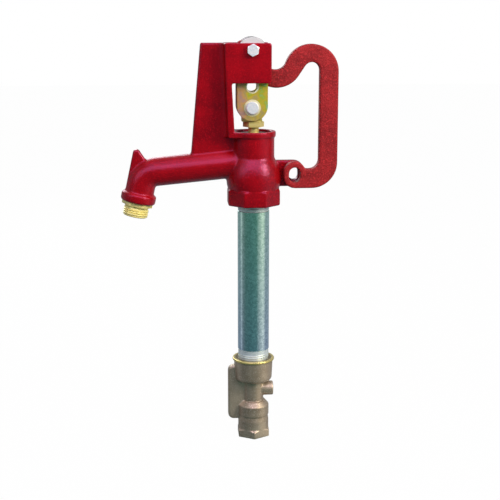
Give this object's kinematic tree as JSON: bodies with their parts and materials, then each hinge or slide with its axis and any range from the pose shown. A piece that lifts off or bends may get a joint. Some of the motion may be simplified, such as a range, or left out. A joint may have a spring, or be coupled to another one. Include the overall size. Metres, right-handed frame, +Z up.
{
  "type": "garden standpipe",
  "caption": "Frost-free garden standpipe: casing pipe on a foot valve, spout head with a hose-thread nozzle, and a lever handle that lifts the pull rod.",
  "frame": {"origin": "centre of the foot valve's lower face, at the mouth of the inlet thread, on the casing pipe's axis", "axes": "+X from the spout towards the handle, +Y away from the viewer, +Z up along the casing pipe"},
  "size_m": [0.2256, 0.0564, 0.4285],
  "materials": {
    "red_enamel": "glossy enamel on cast iron",
    "handle_enamel": "satin enamel on rough sand-cast iron",
    "galvanised_pipe": "galvanised, faint spangle",
    "bronze_casting": "sand-cast bronze with machined lip",
    "machined_brass": "machined",
    "zinc_yellow": "yellow zinc with an iridescent sheen",
    "bright_zinc": "bright zinc",
    "rod_steel": "galvanised rod",
    "graphite_packing": "graphited yarn",
    "black_rubber": "moulded rubber"
  },
  "bodies": {
    "standpipe": {"valve_body": "bronze_casting", "casing_pipe": "galvanised_pipe", "head_casting": "red_enamel", "packing_rings": "graphite_packing", "packing_washer": "machined_brass", "packing_nut": "machined_brass", "hose_nozzle": "machined_brass", "nozzle_set_screw": "bright_zinc", "nozzle_gasket": "black_rubber", "fulcrum_bolt": "bright_zinc", "fulcrum_nut": "bright_zinc"},
    "lever": {"handle": "handle_enamel"},
    "lift_rod": {"front_link": "zinc_yellow", "rear_link": "zinc_yellow", "cam_pin": "bright_zinc", "crosshead": "machined_brass", "link_pin": "bright_zinc", "link_nut": "bright_zinc", "stem": "machined_brass", "jam_nut": "machined_brass", "rod_coupling": "rod_steel", "pull_rod": "rod_steel", "plunger": "machined_brass", "plunger_o_rings": "black_rubber", "plunger_seal": "black_rubber", "seal_screw": "bright_zinc"}
  },
  "joints": [
    {"name": "handle_hinge", "type": "hinge", "parent": "standpipe", "child": "lever", "pos_m": [-0.002, 0, 0.4155], "axis": [0, -1, 0], "range_deg": [0, 105]},
    {"name": "rod_lift", "type": "slide", "parent": "standpipe", "child": "lift_rod", "axis": [0, 0, 1], "range_m": [0, 0.012]}
  ],
  "couplings": [
    {"joint": "rod_lift", "follows": "handle_hinge", "m_per_rad": 0.006548}
  ]
}
